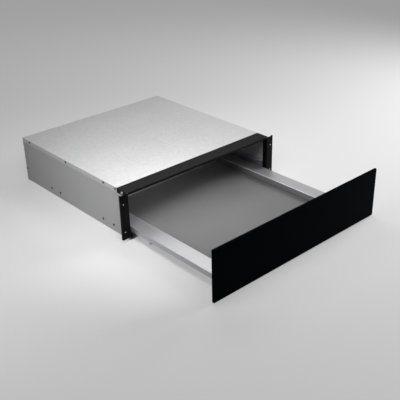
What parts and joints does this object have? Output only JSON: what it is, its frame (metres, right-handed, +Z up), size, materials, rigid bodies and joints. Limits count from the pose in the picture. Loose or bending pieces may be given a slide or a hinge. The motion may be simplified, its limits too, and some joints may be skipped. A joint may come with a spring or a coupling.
{
  "type": "built-in storage drawer",
  "caption": "Built-in kitchen storage drawer: a shallow steel tray with a non-slip mat and a black glass front slides out of a flat sheet-steel housing on ball runners.",
  "frame": {"origin": "middle of the housing's base face, which stands on the niche floor", "axes": "+X along the front to the right seen from the front, +Y into the niche towards the back panel, +Z up; the drawer opens towards -Y"},
  "size_m": [0.594, 0.87, 0.142],
  "materials": {
    "galvanised_steel": "galvanised sheet with a fine spangle",
    "black_coated_steel": "satin black powder coat",
    "tray_steel": "fine brushed zinc-coated sheet",
    "mat_rubber": "matt dark grey non-slip mat",
    "black_glass": "black glass with polished edges",
    "black_rubber": "matt black",
    "grey_plastic": "moulded, fine texture",
    "pale_plastic": "moulded, smooth",
    "cage_steel": "thin yellow-passivated strip",
    "ball_steel": "polished",
    "runner_steel": "bright zinc plate",
    "screw_steel": "bright zinc plate",
    "dark_screw_steel": "darkened steel"
  },
  "bodies": {
    "housing": {"top_cover": "galvanised_steel", "left_side_panel": "galvanised_steel", "right_side_panel": "galvanised_steel", "bottom_panel": "galvanised_steel", "back_panel": "galvanised_steel", "top_rail": "black_coated_steel", "left_jamb": "black_coated_steel", "right_jamb": "black_coated_steel", "left_runner_bracket": "runner_steel", "right_runner_bracket": "runner_steel", "left_fixed_runner": "runner_steel", "right_fixed_runner": "runner_steel", "latch_housing": "grey_plastic", "latch_spring": "screw_steel", "bracket_rivets": "dark_screw_steel", "cover_screws": "dark_screw_steel", "frame_screws": "screw_steel", "back_screws": "dark_screw_steel", "ledge_screws": "screw_steel"},
    "drawer": {"tray_floor": "tray_steel", "tray_back": "tray_steel", "mat": "mat_rubber", "front_panel": "black_coated_steel", "left_front_bracket": "runner_steel", "right_front_bracket": "runner_steel", "glass_tape": "black_rubber", "glass_front": "black_glass", "front_buffers": "black_rubber", "latch_catch": "runner_steel", "panel_screws": "screw_steel", "left_tray_rail": "tray_steel", "left_runner_hanger": "runner_steel", "left_drawer_runner": "runner_steel", "right_tray_rail": "tray_steel", "right_runner_hanger": "runner_steel", "right_drawer_runner": "runner_steel"},
    "left_middle_runner": {"left_middle_runner": "runner_steel"},
    "left_outer_cage": {"left_outer_cage": "cage_steel", "left_outer_balls": "ball_steel"},
    "left_inner_cage": {"left_inner_cage": "cage_steel", "left_inner_balls": "ball_steel"},
    "right_middle_runner": {"right_middle_runner": "runner_steel"},
    "right_outer_cage": {"right_outer_cage": "cage_steel", "right_outer_balls": "ball_steel"},
    "right_inner_cage": {"right_inner_cage": "cage_steel", "right_inner_balls": "ball_steel"},
    "latch_plunger": {"latch_plunger": "pale_plastic"}
  },
  "joints": [
    {"name": "drawer_slide", "type": "slide", "parent": "housing", "child": "drawer", "axis": [0, 1, 0], "range_m": [0, 0.338]},
    {"name": "left_middle_slide", "type": "slide", "parent": "housing", "child": "left_middle_runner", "axis": [0, 1, 0], "range_m": [0, 0.0676]},
    {"name": "left_outer_cage_roll", "type": "slide", "parent": "housing", "child": "left_outer_cage", "axis": [0, 1, 0], "range_m": [0, 0.0338]},
    {"name": "left_inner_cage_roll", "type": "slide", "parent": "housing", "child": "left_inner_cage", "axis": [0, 1, 0], "range_m": [0, 0.2028]},
    {"name": "right_middle_slide", "type": "slide", "parent": "housing", "child": "right_middle_runner", "axis": [0, 1, 0], "range_m": [0, 0.0676]},
    {"name": "right_outer_cage_roll", "type": "slide", "parent": "housing", "child": "right_outer_cage", "axis": [0, 1, 0], "range_m": [0, 0.0338]},
    {"name": "right_inner_cage_roll", "type": "slide", "parent": "housing", "child": "right_inner_cage", "axis": [0, 1, 0], "range_m": [0, 0.2028]},
    {"name": "plunger_press", "type": "slide", "parent": "housing", "child": "latch_plunger", "axis": [0, 1, 0], "range_m": [0, 0.012], "deforming": ["latch_spring"]}
  ],
  "couplings": [
    {"joint": "left_middle_slide", "follows": "drawer_slide", "ratio": 0.2},
    {"joint": "left_outer_cage_roll", "follows": "drawer_slide", "ratio": 0.1},
    {"joint": "left_inner_cage_roll", "follows": "drawer_slide", "ratio": 0.6},
    {"joint": "right_middle_slide", "follows": "drawer_slide", "ratio": 0.2},
    {"joint": "right_outer_cage_roll", "follows": "drawer_slide", "ratio": 0.1},
    {"joint": "right_inner_cage_roll", "follows": "drawer_slide", "ratio": 0.6},
    {"joint": "plunger_press", "follows": "drawer_slide", "ratio": 0.0355}
  ]
}
